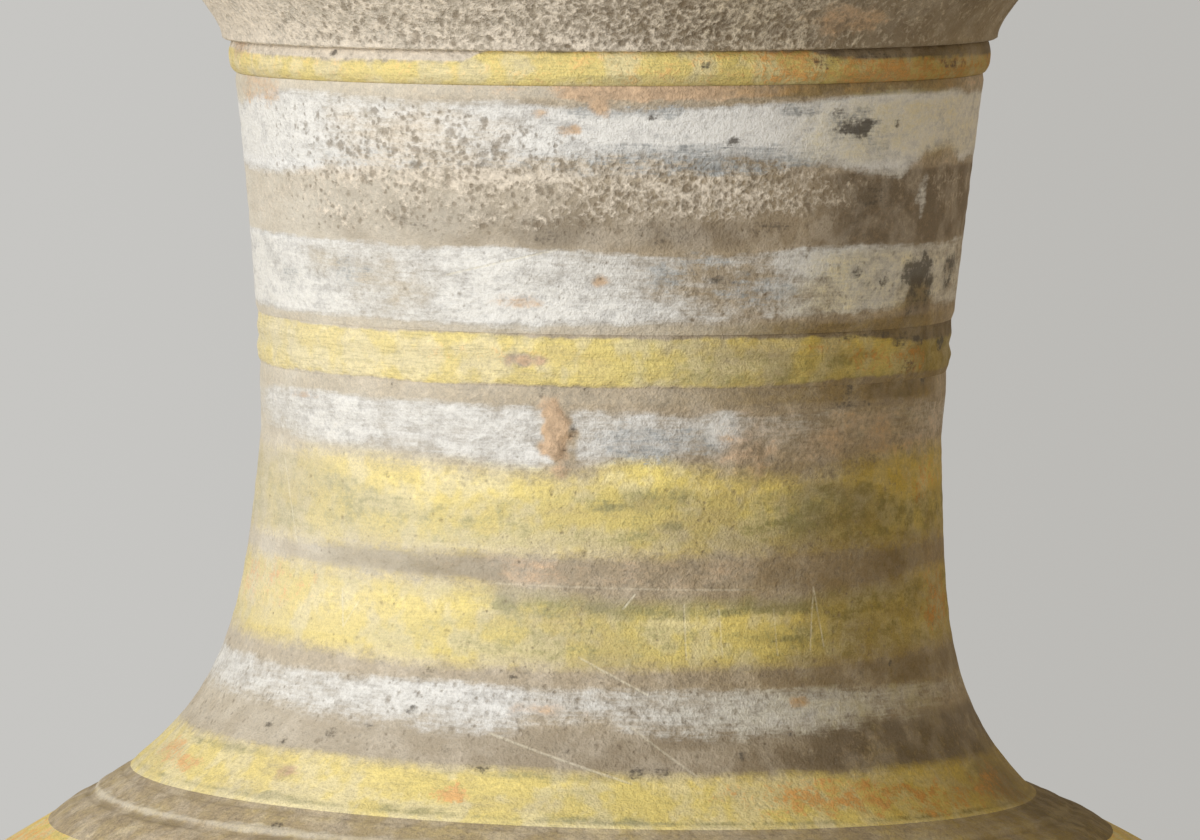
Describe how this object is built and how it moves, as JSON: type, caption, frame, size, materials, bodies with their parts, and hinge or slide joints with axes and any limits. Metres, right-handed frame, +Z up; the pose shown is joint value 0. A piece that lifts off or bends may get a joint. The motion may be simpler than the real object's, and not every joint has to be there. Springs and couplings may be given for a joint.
{
  "type": "lidded jar",
  "caption": "Tall-necked earthenware jar with a globular body, spreading foot, flared mouth and lift-off domed lid, banded in worn white and yellow paint.",
  "frame": {"origin": "centre of the foot's standing ring, on the axis of the body, at floor level", "axes": "+Z up along the body's axis; the neck and the lid lean towards +X; -Y faces the picture's camera"},
  "size_m": [0.3564, 0.3564, 0.555],
  "materials": {
    "bare_clay": "unglazed grey-brown earthenware, matte",
    "white_paint": "worn white slip over bare clay, matte",
    "yellow_paint": "worn yellow earth pigment over clay, matte",
    "crusted_clay": "bare clay with a pinkish burial crust, matte"
  },
  "bodies": {
    "jar": {"foot_ring": "bare_clay", "lower_body": "bare_clay", "belly_band": "yellow_paint", "shoulder": "bare_clay", "inner_shoulder_rib": "bare_clay", "outer_shoulder_rib": "bare_clay", "neck": "white_paint", "lower_neck_band": "yellow_paint", "upper_neck_band": "yellow_paint", "mouth_collar": "crusted_clay"},
    "lid": {"lid_dome": "crusted_clay", "lid_collar": "bare_clay", "lid_knob": "yellow_paint"}
  },
  "joints": [
    {"name": "lid_lift", "type": "slide", "parent": "jar", "child": "lid", "axis": [0, 0, 1], "range_m": [0, 0.1]}
  ]
}
